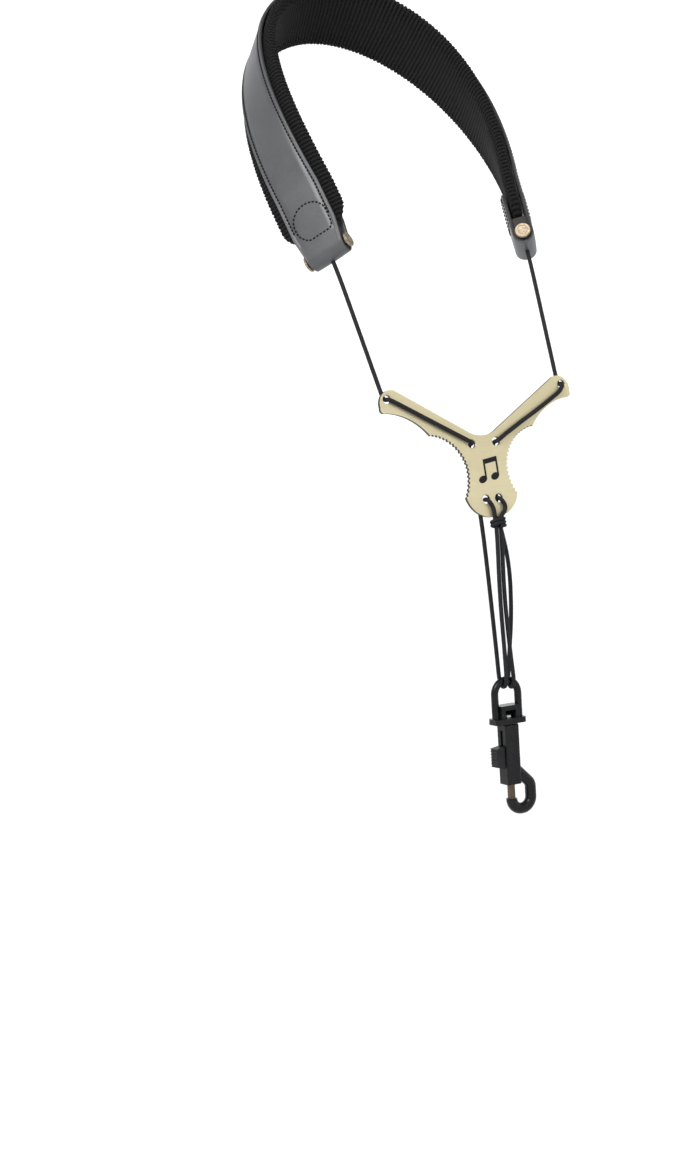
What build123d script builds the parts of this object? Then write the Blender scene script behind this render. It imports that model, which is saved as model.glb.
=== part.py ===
"""Saxophone neck strap: padded neck band, sliding yoke plate, cord, swivel snap hook.

Units are millimetres.  +Z is up, -Y is the wearer's front, +X is the wearer's left.
The origin is the middle of the band's inner face at the nape of the neck.
"""
from math import cos, pi, radians, sin, sqrt, tan
import os

from build123d import *

os.makedirs("parts", exist_ok=True)

# ---------------------------------------------------------------- driving dimensions
# neck band
NECK_R = 68.7            # radius the band is bent to, seen from above
CONVERGE = 11.6          # degrees each side turns inward past the widest point
BAND_DROP = 146.6        # fall of the band over its whole plan length
DROP_SOFTNESS = 1.41     # how gently the fall starts at the nape
PLAN_RUN = 20.4          # plan length past the round part, used for the fall only
LEAN_NAPE = 34.0         # degrees the outer face leans upward at the nape
LEAN_TAB = 41.2          # the same where the end tab starts
LEAN_POWER = 1.8
TAB_LENGTH = 44.0        # straight end zone, along the band
BAND_STATIONS = 8        # sections on each side of the nape

KNIT_WIDTH, KNIT_THICK, KNIT_CORNER = 42.0, 8.0, 3.6
KNIT_END = 16.8          # where the lining stops, above the tab's bottom
KNIT_TAPER = ((KNIT_END, 26.0), (19.6, 32.6), (24.0, 38.6))   # (height above tab bottom, width)
KNIT_WALL = 1.5
LAYER_GAP = 0.3          # clearance between layers

LEATHER_WIDTH, LEATHER_THICK, LEATHER_CORNER = 28.6, 2.0, 0.8
TAB_WIDTH = 22.6         # leather width at the fold
TAB_TAPER_START = 20.0   # height above the fold where the leather reaches full width
TONGUE_LENGTH = 37.0     # the folded-back end, sewn under the lining

PIN_R = 1.5              # the rivet's shank, in the middle of the fold
PIN_CLEAR = 0.1
RIVET_HEAD_R, RIVET_HEAD_THICK, RIVET_DOME = 4.65, 1.3, 0.4
RIVET_RING_R, RIVET_RING_WIDTH, RIVET_RING_DEPTH = 3.1, 0.5, 0.25
CAP_HOLE_DEPTH = 0.6

# cord
CORD_R = 1.25
CORD_GAP = 0.3           # clearance to what the cord passes round
CORNER_SHARE = 0.45      # share of the shorter run a corner may use

# yoke plate, in its own plane: x across, v up the plate
PLATE_AT = (0.0, -147.75, -253.0)    # middle of the two inner holes
PLATE_LEAN = 10.5        # degrees the plate's top leans back
PLATE_THICK = 2.0
PLATE_EDGE = 0.3
HOLE_R = 2.5
OUTER_HOLE = (59.0, 28.9)
INNER_HOLE = (8.2, 0.0)
LOWER_HOLE = (4.3, -31.9)
PLATE_BOTTOM = -42.0
WAIST = (13.6, -13.0)    # narrowest part of the plate's body
TEETH_START, TEETH_END = (34.6, 6.6), (17.2, -29.8)
TOOTH_PITCH, TOOTH_R = 2.4, 0.75
INLAY_DEPTH = 0.35
NOTE_STEMS = ((-2.2, 0.0), (6.2, 1.2))               # (x, rise) of each note
NOTE_STEM, NOTE_FOOT, NOTE_TOP = 1.3, -20.6, -9.4
NOTE_HEAD, NOTE_TILT, NOTE_BEAM = (2.9, 2.0), 20, 2.8

# swivel ring and snap hook; heights are above the barrel's lower end
HOOK_AT = (0.0, -157.5, -446.1)      # axis of the barrel at its lower end
BARREL_SIDE, BARREL_CORNER, BARREL_CHAMFER = 9.3, 1.1, 0.5
BARREL_HEIGHT = 34.4
CAP_HEIGHT = 3.4
BORE_R = 3.1
GUIDE_R, GUIDE_HEIGHT = 2.27, 4.0
SLOT_WIDTH = 2.2
SLOT_TOP = 31.0
SLOT_BOTTOM = 9.0
PLUNGER_R = 2.2
PLUNGER_TIP, PLUNGER_CHAMFER = -9.4, 0.4
COLLAR_R, COLLAR_BOTTOM, COLLAR_TOP = 2.95, 8.0, 17.4
THUMB_BOTTOM, THUMB_HEIGHT, THUMB_REACH, THUMB_WIDTH = 9.6, 12.5, 5.7, 6.0
THUMB_SLOPE_BELOW, THUMB_SLOPE_ABOVE = 1.2, 0.8
THUMB_RIBS, RIB_DEPTH = 6, 0.45
STEM_THICK = 1.8
SPRING_WIRE_R, SPRING_R, SPRING_TURNS, SPRING_GAP = 0.3, 2.3, 6, 0.05
HOOK_BAR_R = 3.2
HOOK_SPAN = 13.2         # from the plunger axis to the middle of the far leg
HOOK_BEND_Z = -8.6       # height where the round bottom starts and the short leg ends
HOOK_ROOT = (2.0, 9.6)   # where the bar leaves the barrel
HOOK_SHOULDER_Z, HOOK_SHOULDER_R = -1.4, 5.0
SOCKET_R, SOCKET_DEPTH = 2.5, 1.0
SWIVEL_GAP = 0.3
SWIVEL_PIN_R, SWIVEL_HEAD_R, SWIVEL_HEAD_THICK = 1.5, 2.5, 1.6
SWIVEL_RUN = 0.08        # radial running clearance
FLANGE, FLANGE_CORNER = (20.4, 9.4, 3.2), 1.8
RING_BLOCK = (12.6, 7.4, 7.3)
RING_WINDOW = (7.0, 4.6)
RING_BAR_R, RING_LEG_X, RING_ARC_Z = 2.1, 7.9, 51.5
RING_ROOT = 1.0          # how far the ring's legs start inside the flange


# ---------------------------------------------------------------- neck band geometry
ROUND_PLAN = NECK_R * (pi / 2 + radians(CONVERGE))   # plan length of the bent part
PLAN_TOTAL = ROUND_PLAN + PLAN_RUN
EASE_SPAN = sqrt(1 + DROP_SOFTNESS**2) - DROP_SOFTNESS


def band_frame(plan):
    """Plane across the band: origin on the inner face, x along its width, y outward."""
    side = -1.0 if plan < 0 else 1.0
    turn = abs(plan) / NECK_R
    share = abs(plan) / PLAN_TOTAL
    fall = -BAND_DROP * (sqrt(share**2 + DROP_SOFTNESS**2) - DROP_SOFTNESS) / EASE_SPAN
    slope = -BAND_DROP / PLAN_TOTAL * share / sqrt(share**2 + DROP_SOFTNESS**2) / EASE_SPAN
    lean = radians(LEAN_NAPE + (LEAN_TAB - LEAN_NAPE) * (abs(plan) / ROUND_PLAN) ** LEAN_POWER)
    along = Vector(cos(turn), -side * sin(turn), side * slope).normalized()
    out = Vector(side * sin(turn) * cos(lean), cos(turn) * cos(lean), sin(lean))
    out = (out - along * out.dot(along)).normalized()
    origin = Vector(side * NECK_R * sin(turn), NECK_R * (cos(turn) - 1), fall)
    return Plane(origin=origin, x_dir=out.cross(along), z_dir=along)


TAB_START = band_frame(ROUND_PLAN)
TAB_END = TAB_START.origin + TAB_START.z_dir * TAB_LENGTH


def tab_frame(height):
    """Plane across the wearer's left tab, a height above the tab's bottom."""
    return Plane(origin=TAB_END - TAB_START.z_dir * height,
                 x_dir=TAB_START.x_dir, z_dir=TAB_START.z_dir)


def mirrored_frame(frame):
    """The matching plane on the wearer's right side."""
    flip = lambda v: Vector(-v.X, v.Y, v.Z)
    return Plane(origin=flip(frame.origin), x_dir=flip(frame.x_dir), z_dir=-flip(frame.z_dir))


# seen from the side of a tab: x runs up the band, y outward, z across its width
TAB_SIDE = Plane(origin=TAB_END, x_dir=-TAB_START.z_dir, z_dir=TAB_START.x_dir)
# seen from the front of a tab: x runs up the band, z outward
TAB_FACE = Plane(origin=TAB_END, x_dir=-TAB_START.z_dir, z_dir=TAB_START.y_dir)


def band_stations():
    """Planes from the wearer's right tab, over the nape, to the left tab."""
    count = BAND_STATIONS
    return [band_frame(ROUND_PLAN * i / count) for i in range(-count, count + 1)]


def band_loft(inner, outer, width, corner, taper=()):
    """Loft a rounded strip between two heights off the inner face."""
    left = [(tab_frame(height), w) for height, w in reversed(taper)]
    right = [(mirrored_frame(frame), w) for frame, w in reversed(left)]
    middle = [(frame, width) for frame in band_stations()]
    centre = Pos(0, (inner + outer) / 2)
    return loft([frame * centre * RectangleRounded(w, outer - inner, corner)
                 for frame, w in right + middle + left])


# layer heights off the inner face
OUTER_IN = KNIT_THICK + LAYER_GAP
OUTER_OUT = OUTER_IN + LEATHER_THICK
TONGUE_OUT = -LAYER_GAP
TONGUE_IN = TONGUE_OUT - LEATHER_THICK
FOLD_MID = (OUTER_OUT + TONGUE_IN) / 2
FOLD_R = (OUTER_OUT - TONGUE_IN) / 2
FOLD_INNER_R = FOLD_R - LEATHER_THICK
PIN_HEIGHT = FOLD_R                     # the rivet's axis is the middle of the fold

# ---------------------------------------------------------------- neck band pieces
foam_strip = band_loft(KNIT_WALL, KNIT_THICK - KNIT_WALL, KNIT_WIDTH - 2 * KNIT_WALL,
                       KNIT_CORNER - KNIT_WALL,
                       [(h + KNIT_WALL, w - 2 * KNIT_WALL) for h, w in KNIT_TAPER])
knit_strip = band_loft(0, KNIT_THICK, KNIT_WIDTH, KNIT_CORNER, KNIT_TAPER)
outer_strip = band_loft(OUTER_IN, OUTER_OUT, LEATHER_WIDTH, LEATHER_CORNER)

with BuildPart() as foam_core:
    add(foam_strip)

with BuildPart() as knit_cover:
    add(knit_strip)
    add(foam_strip, mode=Mode.SUBTRACT)

# the end fold of the wearer's left tab: strip, turn round the rivet, tongue
with BuildPart() as end_fold:
    with BuildSketch(TAB_SIDE):
        with Locations((FOLD_R, FOLD_MID)):
            Circle(FOLD_R)
        with Locations(((FOLD_R + TAB_LENGTH) / 2, FOLD_MID)):
            Rectangle(TAB_LENGTH - FOLD_R, 2 * FOLD_R)
        with Locations((FOLD_R, FOLD_MID)):
            Circle(FOLD_INNER_R, mode=Mode.SUBTRACT)
        with Locations(((FOLD_R + TAB_LENGTH) / 2, FOLD_MID)):
            Rectangle(TAB_LENGTH - FOLD_R, 2 * FOLD_INNER_R, mode=Mode.SUBTRACT)
        with Locations(((TONGUE_LENGTH + TAB_LENGTH) / 2, (TONGUE_IN + TONGUE_OUT) / 2)):
            Rectangle(TAB_LENGTH - TONGUE_LENGTH, LEATHER_THICK, mode=Mode.SUBTRACT)
    extrude(amount=LEATHER_WIDTH / 2, both=True)
    with BuildSketch(TAB_FACE):
        with BuildLine():
            Polyline((0, -TAB_WIDTH / 2), (TAB_TAPER_START, -LEATHER_WIDTH / 2),
                     (TAB_LENGTH, -LEATHER_WIDTH / 2), (TAB_LENGTH, LEATHER_WIDTH / 2),
                     (TAB_TAPER_START, LEATHER_WIDTH / 2), (0, TAB_WIDTH / 2), close=True)
        make_face()
    extrude(amount=2 * OUTER_OUT, both=True, mode=Mode.INTERSECT)
    # the cord leaves through the middle of the fold
    with BuildSketch(tab_frame(0)):
        with Locations((0, FOLD_MID)):
            Circle(CORD_R + CORD_GAP)
    extrude(amount=-FOLD_R, mode=Mode.SUBTRACT)

with BuildPart() as leather_band:
    add(outer_strip)
    add(end_fold.part)
    mirror(end_fold.part, about=Plane.YZ)

# leather packing inside the fold, bored for the rivet, slotted for the cord's eye
EYE_R = PIN_R + PIN_CLEAR + CORD_R
CORE_R = FOLD_INNER_R - LAYER_GAP / 2
CORE_TOP = KNIT_END - LAYER_GAP
EYE_SLOT = 2 * (CORD_R + CORD_GAP)
with BuildPart() as end_core_left:
    with BuildSketch(TAB_SIDE):
        with Locations((FOLD_R, FOLD_MID)):
            Circle(CORE_R)
        with Locations(((FOLD_R + CORE_TOP) / 2, FOLD_MID)):
            Rectangle(CORE_TOP - FOLD_R, 2 * CORE_R)
        with Locations((PIN_HEIGHT, FOLD_MID)):
            Circle(PIN_R + PIN_CLEAR, mode=Mode.SUBTRACT)
    extrude(amount=TAB_WIDTH / 2, both=True)
    with BuildSketch(TAB_SIDE):
        with Locations((PIN_HEIGHT, FOLD_MID)):
            Circle(EYE_R + CORD_R + CORD_GAP)
    extrude(amount=EYE_SLOT / 2, both=True, mode=Mode.SUBTRACT)
    with BuildSketch(tab_frame(0)):
        with Locations((0, FOLD_MID)):
            Circle(CORD_R + CORD_GAP)
    extrude(amount=-PIN_HEIGHT, mode=Mode.SUBTRACT)

with BuildPart() as cord_eye_left:
    with BuildSketch(Plane(origin=TAB_SIDE.from_local_coords((PIN_HEIGHT, FOLD_MID + EYE_R, 0)),
                           x_dir=TAB_SIDE.y_dir, z_dir=TAB_SIDE.x_dir)):
        Circle(CORD_R)
    revolve(axis=Axis(TAB_SIDE.from_local_coords((PIN_HEIGHT, FOLD_MID, 0)), TAB_SIDE.z_dir))

HEAD_SEAT = LEATHER_WIDTH / 2 - (LEATHER_WIDTH - TAB_WIDTH) / 2 * (
    1 - (PIN_HEIGHT + RIVET_HEAD_R) / TAB_TAPER_START) + LAYER_GAP / 2
SHANK_END = HEAD_SEAT + CAP_HOLE_DEPTH


def rivet_head(face, outward):
    """Domed round head with one turned ring, on the side edge of the fold."""
    top = TAB_SIDE.offset(face + outward * RIVET_HEAD_THICK)
    with BuildPart() as head:
        with BuildSketch(TAB_SIDE.offset(face)):
            with Locations((PIN_HEIGHT, FOLD_MID)):
                Circle(RIVET_HEAD_R)
        extrude(amount=outward * RIVET_HEAD_THICK)
        outer_face = faces().sort_by(Axis(top.origin, top.z_dir * outward))[-1]
        chamfer(outer_face.edges(), RIVET_DOME)
        with BuildSketch(top):
            with Locations((PIN_HEIGHT, FOLD_MID)):
                Circle(RIVET_RING_R)
                Circle(RIVET_RING_R - RIVET_RING_WIDTH, mode=Mode.SUBTRACT)
        extrude(amount=-outward * RIVET_RING_DEPTH, mode=Mode.SUBTRACT)
    return head.part


post_head, cap_head = rivet_head(HEAD_SEAT, 1), rivet_head(-HEAD_SEAT, -1)

with BuildPart() as rivet_post_left:
    add(post_head)
    with BuildSketch(TAB_SIDE.offset(-SHANK_END)):
        with Locations((PIN_HEIGHT, FOLD_MID)):
            Circle(PIN_R)
    extrude(amount=SHANK_END + HEAD_SEAT + LAYER_GAP)

with BuildPart() as rivet_cap_left:
    add(cap_head)
    with BuildSketch(TAB_SIDE.offset(-HEAD_SEAT)):
        with Locations((PIN_HEIGHT, FOLD_MID)):
            Circle(PIN_R)
    extrude(amount=-CAP_HOLE_DEPTH, mode=Mode.SUBTRACT)

# ---------------------------------------------------------------- yoke plate
lean_back = radians(PLATE_LEAN)
PLATE_UP = Vector(0, sin(lean_back), cos(lean_back))
PLATE_FRONT = Vector(0, -cos(lean_back), sin(lean_back))
PLATE = Plane(origin=PLATE_AT, x_dir=(1, 0, 0), z_dir=PLATE_FRONT)

with BuildPart() as yoke_plate:
    with BuildSketch(PLATE.offset(-PLATE_THICK / 2)):
        with BuildLine():
            dip = ThreePointArc((0, 4.2), (5.2, 4.9), (10.4, 7.5))
            top = Line(dip @ 1, (53.6, 33.6))
            tip = ThreePointArc(top @ 1, (61.6, 31.9), (63.9, 24.6))
            corner = ThreePointArc(tip @ 1, (63.5, 22.0), (61.2, 21.3))
            ThreePointArc(corner @ 1, (48.5, 17.9), TEETH_START)
            teeth_above = ThreePointArc(TEETH_START, (21.0, 0.4), WAIST)
            teeth_below = ThreePointArc(WAIST, (14.0, -21.6), TEETH_END)
            ThreePointArc(TEETH_END, (13.0, -37.5), (0, PLATE_BOTTOM))
            mirror(about=Plane.YZ)
        make_face()
        for side in (-1, 1):
            for hole in (OUTER_HOLE, INNER_HOLE, LOWER_HOLE):
                with Locations((side * hole[0], hole[1])):
                    Circle(HOLE_R, mode=Mode.SUBTRACT)
        for edge in (teeth_above, teeth_below):
            count = round(edge.length / TOOTH_PITCH)
            for i in range(count):
                notch = edge @ ((i + 0.5) / count)
                for side in (-1, 1):
                    with Locations((side * notch.X, notch.Y)):
                        Circle(TOOTH_R, mode=Mode.SUBTRACT)
    extrude(amount=PLATE_THICK)
    chamfer(edges().filter_by(lambda edge: edge.is_closed), PLATE_EDGE)

# a plain pair of joined notes in black, in the space between the plate's holes
with BuildSketch(PLATE.offset(PLATE_THICK / 2 - INLAY_DEPTH)) as note_outline:
    for x, rise in NOTE_STEMS:
        with Locations(Location((x + NOTE_STEM / 2 - NOTE_HEAD[0], NOTE_FOOT + rise), NOTE_TILT)):
            Ellipse(NOTE_HEAD[0], NOTE_HEAD[1])
        with Locations((x, (NOTE_FOOT + NOTE_TOP) / 2 + rise)):
            Rectangle(NOTE_STEM, NOTE_TOP - NOTE_FOOT)
    (left_x, left_rise), (right_x, right_rise) = NOTE_STEMS
    with BuildLine():
        Polyline((left_x, NOTE_TOP + left_rise), (right_x, NOTE_TOP + right_rise),
                 (right_x, NOTE_TOP + right_rise - NOTE_BEAM),
                 (left_x, NOTE_TOP + left_rise - NOTE_BEAM), close=True)
    make_face()

with BuildPart() as plate_inlay:
    extrude(note_outline.sketch, amount=INLAY_DEPTH)

with BuildPart() as plate_with_recess:
    add(yoke_plate.part)
    add(plate_inlay.part, mode=Mode.SUBTRACT)
yoke_plate = plate_with_recess


def on_plate(x, v, out):
    """Point over the plate: across, up, and out of its front face's mid-plane."""
    return PLATE.from_local_coords((x, v, out))


# ---------------------------------------------------------------- cord
def turn_between(before, after):
    """Angle between two runs, in radians."""
    return before.get_angle(after) * pi / 180


def corner_radii(points):
    """Largest radius each corner can have without its arcs meeting the next corner's."""
    radii = []
    for a, b, c in zip(points, points[1:], points[2:]):
        before, after = b - a, c - b
        room = CORNER_SHARE * min(before.length, after.length)
        radii.append(room / tan(turn_between(before, after) / 2))
    return radii


def cord_tube(name, points, radius=CORD_R):
    """Sweep a round cord along straight runs joined by arcs, and report how it came out."""
    points = [Vector(*p) for p in points]
    if len(points) == 2:
        route = Line(*points)
        radii = []
    else:
        radii = corner_radii(points)
        route = FilletPolyline(*points, radius=radii)
    start = Plane(origin=route @ 0, z_dir=route % 0)
    tube = sweep(start * Circle(radius), path=Wire(route.edges()), transition=Transition.RIGHT)
    share = tube.volume / (pi * radius**2 * route.length)
    print(f"{name}: length {route.length:.1f} mm, volume ratio {share:.4f}, radii",
          [round(r, 1) for r in radii])
    return tube


def tup(v):
    return (v.X, v.Y, v.Z)


def gapped(points, start, end):
    """The same route, stopped short at its ends."""
    points = [Vector(*p) for p in points]
    first = points[0] + (points[1] - points[0]).normalized() * start
    last = points[-1] + (points[-2] - points[-1]).normalized() * end
    return [tup(p) for p in [first, *points[1:-1], last]]


CORD_OFF = PLATE_THICK / 2 + CORD_GAP + CORD_R       # cord axis off the plate's mid-plane
RING_TURN = RING_BAR_R + CORD_GAP + CORD_R           # cord axis round the ring's bar
BAR_Z = HOOK_AT[2] + RING_ARC_Z + RING_LEG_X         # ring bar axis height
BACK_JOIN = (7.7, -38.0)                             # where a lower strand starts, behind the plate
LOOP_JOIN_V = -45.4                                  # the same in front, inside the keeper
FOLD_LEAD = 5.0                                      # straight run out of the fold
ARM_LEAD = 7.0                                       # where the run down the arm's back starts

# a tab's cord runs down out of the fold, then straight to the back of the plate's arm
inside_fold = TAB_SIDE.from_local_coords((PIN_HEIGHT - EYE_R - CORD_R - LAYER_GAP, FOLD_MID, 0))
below_fold = TAB_SIDE.from_local_coords((-FOLD_LEAD, FOLD_MID, 0))
arm_hole_back = on_plate(OUTER_HOLE[0], OUTER_HOLE[1], -CORD_OFF)
arm_lead = Vector(*arm_hole_back) + (below_fold - Vector(*arm_hole_back)).normalized() * ARM_LEAD
upper_points = [tup(inside_fold), tup(below_fold), tup(arm_lead)]

plate_points = [
    tup(arm_lead), tup(arm_hole_back), tup(on_plate(*OUTER_HOLE, CORD_OFF)),
    tup(on_plate(*INNER_HOLE, CORD_OFF)), tup(on_plate(*INNER_HOLE, -CORD_OFF)),
    tup(on_plate(*BACK_JOIN, -CORD_OFF)),
]
LOOP_X = 1.55
LOOP_LEFT = ((-1.75, -42.6), (-3.0, -37.2))          # corners of the front loops, up
LOOP_RIGHT = ((6.9, -38.0), (1.75, -42.8))           # and down again
loop_points = [
    tup(on_plate(-LOOP_X, LOOP_JOIN_V, CORD_OFF)),
    *(tup(on_plate(x, v, CORD_OFF)) for x, v in LOOP_LEFT),
    tup(on_plate(-LOWER_HOLE[0], LOWER_HOLE[1], CORD_OFF)),
    tup(on_plate(-LOWER_HOLE[0], LOWER_HOLE[1], -CORD_OFF)),
    tup(on_plate(LOWER_HOLE[0], LOWER_HOLE[1], -CORD_OFF)),
    tup(on_plate(LOWER_HOLE[0], LOWER_HOLE[1], CORD_OFF)),
    *(tup(on_plate(x, v, CORD_OFF)) for x, v in LOOP_RIGHT),
    tup(on_plate(LOOP_X, LOOP_JOIN_V, CORD_OFF)),
]
STRAND_X = 1.6
BACK_LEAVE_X = 7.3
BACK_LEAVE_V, LOOP_LEAVE_V = -47.0, -51.5            # where the strands turn toward the ring
drop_points = [
    plate_points[-1], tup(on_plate(BACK_LEAVE_X, BACK_LEAVE_V, -CORD_OFF)),
    (STRAND_X, HOOK_AT[1] + RING_TURN, BAR_Z - RING_TURN),
    (STRAND_X, HOOK_AT[1] - RING_TURN, BAR_Z - RING_TURN),
    tup(on_plate(LOOP_X, LOOP_LEAVE_V, CORD_OFF)), loop_points[-1],
]

UPPER_RUN = cord_tube("upper_cord_left", gapped(upper_points, 0, CORD_GAP))
PLATE_RUN = cord_tube("plate_cord_left", plate_points)
LOOP_RUN = cord_tube("plate_cord_loop", loop_points)
DROP_RUN = cord_tube("drop_cord_left", gapped(drop_points, CORD_GAP, CORD_GAP))

for label, points in (("upper", upper_points), ("plate", plate_points),
                      ("loop", loop_points), ("drop", drop_points)):
    print("route", label, [tuple(round(c, 3) for c in p) for p in points])

with BuildPart() as upper_cord_left:
    add(UPPER_RUN)
with BuildPart() as upper_cord_right:
    mirror(UPPER_RUN, about=Plane.YZ)
with BuildPart() as plate_cord_left:
    add(PLATE_RUN)
with BuildPart() as plate_cord_right:
    mirror(PLATE_RUN, about=Plane.YZ)
with BuildPart() as plate_cord_loop:
    add(LOOP_RUN)
with BuildPart() as drop_cord_left:
    add(DROP_RUN)
with BuildPart() as drop_cord_right:
    mirror(DROP_RUN, about=Plane.YZ)

# turns of thinner cord bind the loop's ends under the plate
KEEPER_R = 0.7
KEEPER_TURNS = (-44.1, -45.4, -46.7)
keeper_half = CORD_R + CORD_GAP + KEEPER_R
keeper_turns = []
for v in KEEPER_TURNS:
    level = Plane(origin=on_plate(0, v, CORD_OFF), x_dir=(1, 0, 0), z_dir=PLATE_UP)
    ring_line = (level * SlotOverall(2 * (LOOP_X + keeper_half), 2 * keeper_half)).wire()
    start = Plane(origin=ring_line @ 0, z_dir=ring_line % 0)
    keeper_turns.append(sweep(start * Circle(KEEPER_R), path=ring_line))

with BuildPart() as keeper_knot:
    for ring in keeper_turns:
        add(ring)

# ---------------------------------------------------------------- swivel ring
HOOK = Plane(origin=HOOK_AT, x_dir=(1, 0, 0), z_dir=(0, 0, 1))
HOOK_SIDE = Plane(origin=HOOK_AT, x_dir=(1, 0, 0), z_dir=(0, -1, 0))   # x across, y up
FLANGE_Z = BARREL_HEIGHT + SWIVEL_GAP
BLOCK_Z = FLANGE_Z + FLANGE[2]
HEAD_Z = BLOCK_Z + SWIVEL_GAP

with BuildPart() as swivel_ring:
    with BuildSketch(HOOK.offset(FLANGE_Z)):
        RectangleRounded(FLANGE[0], FLANGE[1], FLANGE_CORNER)
    extrude(amount=FLANGE[2])
    with BuildSketch(HOOK.offset(BLOCK_Z)):
        Rectangle(RING_BLOCK[0], RING_BLOCK[1])
    extrude(amount=RING_BLOCK[2])
    with BuildLine(HOOK_SIDE):
        leg = Line((RING_LEG_X, BLOCK_Z - RING_ROOT), (RING_LEG_X, RING_ARC_Z))
        bow = ThreePointArc(leg @ 1, (0, RING_ARC_Z + RING_LEG_X), (-RING_LEG_X, RING_ARC_Z))
        Line(bow @ 1, (-RING_LEG_X, BLOCK_Z - RING_ROOT))
    with BuildSketch(HOOK.offset(BLOCK_Z - RING_ROOT)):
        with Locations((RING_LEG_X, 0)):
            Circle(RING_BAR_R)
    sweep()
    # a pocket for the pin's head, open to the front
    with BuildSketch(HOOK_SIDE.offset(-SWIVEL_HEAD_R - SWIVEL_GAP)):
        with Locations((0, BLOCK_Z + RING_WINDOW[1] / 2)):
            Rectangle(RING_WINDOW[0], RING_WINDOW[1])
    extrude(amount=RING_BLOCK[1], mode=Mode.SUBTRACT)
    with BuildSketch(HOOK.offset(FLANGE_Z)):
        Circle(SWIVEL_PIN_R + SWIVEL_RUN)
    extrude(amount=FLANGE[2], mode=Mode.SUBTRACT)

# ---------------------------------------------------------------- snap hook
with BuildPart() as swivel_pin:
    with BuildSketch(HOOK.offset(BARREL_HEIGHT - CAP_HEIGHT)):
        Circle(SWIVEL_PIN_R)
    extrude(amount=HEAD_Z - BARREL_HEIGHT + CAP_HEIGHT + SWIVEL_HEAD_THICK / 2)
    with BuildSketch(HOOK.offset(HEAD_Z)):
        Circle(SWIVEL_HEAD_R)
    extrude(amount=SWIVEL_HEAD_THICK)
    chamfer(edges().sort_by(Axis.Z)[-1], SWIVEL_HEAD_THICK / 4)

with BuildPart() as barrel_cap:
    with BuildSketch(HOOK.offset(BARREL_HEIGHT - CAP_HEIGHT)):
        RectangleRounded(BARREL_SIDE, BARREL_SIDE, BARREL_CORNER)
        Circle(SWIVEL_PIN_R, mode=Mode.SUBTRACT)
    extrude(amount=CAP_HEIGHT)
    chamfer(faces().sort_by(Axis.Z)[-1].outer_wire().edges(), BARREL_CHAMFER)

with BuildPart() as hook_body:
    with BuildSketch(HOOK):
        RectangleRounded(BARREL_SIDE, BARREL_SIDE, BARREL_CORNER)
    extrude(amount=BARREL_HEIGHT - CAP_HEIGHT)
    bend_r = HOOK_SPAN / 2 - LAYER_GAP
    with BuildLine(HOOK_SIDE):
        bar_line = FilletPolyline(
            HOOK_ROOT, (HOOK_SPAN, HOOK_SHOULDER_Z),
            (HOOK_SPAN, HOOK_BEND_Z - HOOK_SPAN / 2), (0, HOOK_BEND_Z - HOOK_SPAN / 2),
            (0, HOOK_BEND_Z), radius=[HOOK_SHOULDER_R, bend_r, bend_r])
    with BuildSketch(Plane(origin=bar_line @ 0, z_dir=bar_line % 0)):
        Circle(HOOK_BAR_R)
    sweep(path=bar_line)
    # bore, lower guide, thumb slot and the socket the plunger rests in
    with BuildSketch(HOOK.offset(GUIDE_HEIGHT)):
        Circle(BORE_R)
    extrude(amount=BARREL_HEIGHT, mode=Mode.SUBTRACT)
    with BuildSketch(HOOK):
        Circle(GUIDE_R)
    extrude(amount=GUIDE_HEIGHT, mode=Mode.SUBTRACT)
    with BuildSketch(HOOK.offset(SLOT_BOTTOM)):
        with Locations((-BARREL_SIDE / 2, 0)):
            Rectangle(BARREL_SIDE, SLOT_WIDTH)
    extrude(amount=SLOT_TOP - SLOT_BOTTOM, mode=Mode.SUBTRACT)
    with BuildSketch(HOOK.offset(HOOK_BEND_Z - SOCKET_DEPTH)):
        Circle(SOCKET_R)
    extrude(amount=SOCKET_DEPTH, mode=Mode.SUBTRACT)

with BuildPart() as plunger:
    with BuildSketch(HOOK.offset(PLUNGER_TIP)):
        Circle(PLUNGER_R)
    extrude(amount=COLLAR_BOTTOM - PLUNGER_TIP)
    chamfer(edges().sort_by(Axis.Z)[0], PLUNGER_CHAMFER)
    with BuildSketch(HOOK.offset(COLLAR_BOTTOM)):
        Circle(COLLAR_R)
    extrude(amount=COLLAR_TOP - COLLAR_BOTTOM)

THUMB_FACE = BARREL_SIDE / 2 + LAYER_GAP
face_bottom = THUMB_BOTTOM + THUMB_SLOPE_BELOW
face_top = THUMB_BOTTOM + THUMB_HEIGHT - THUMB_SLOPE_ABOVE
with BuildPart() as thumb_slide:
    with BuildSketch(HOOK.offset(THUMB_BOTTOM + LAYER_GAP)):
        with Locations((-(THUMB_FACE + COLLAR_R) / 2, 0)):
            Rectangle(THUMB_FACE - COLLAR_R + 2 * LAYER_GAP, STEM_THICK)
    extrude(amount=COLLAR_TOP - THUMB_BOTTOM - 2 * LAYER_GAP)
    add(plunger.part, mode=Mode.SUBTRACT)
    with BuildSketch(HOOK_SIDE):
        with BuildLine():
            Polyline((-THUMB_FACE, THUMB_BOTTOM), (-THUMB_FACE - THUMB_REACH, face_bottom),
                     (-THUMB_FACE - THUMB_REACH, face_top),
                     (-THUMB_FACE, THUMB_BOTTOM + THUMB_HEIGHT), close=True)
        make_face()
        pitch = (face_top - face_bottom) / THUMB_RIBS
        for i in range(THUMB_RIBS):
            with Locations((-THUMB_FACE - THUMB_REACH, face_bottom + (i + 0.5) * pitch)):
                Circle(RIB_DEPTH, mode=Mode.SUBTRACT)
    extrude(amount=THUMB_WIDTH / 2, both=True)

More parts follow.
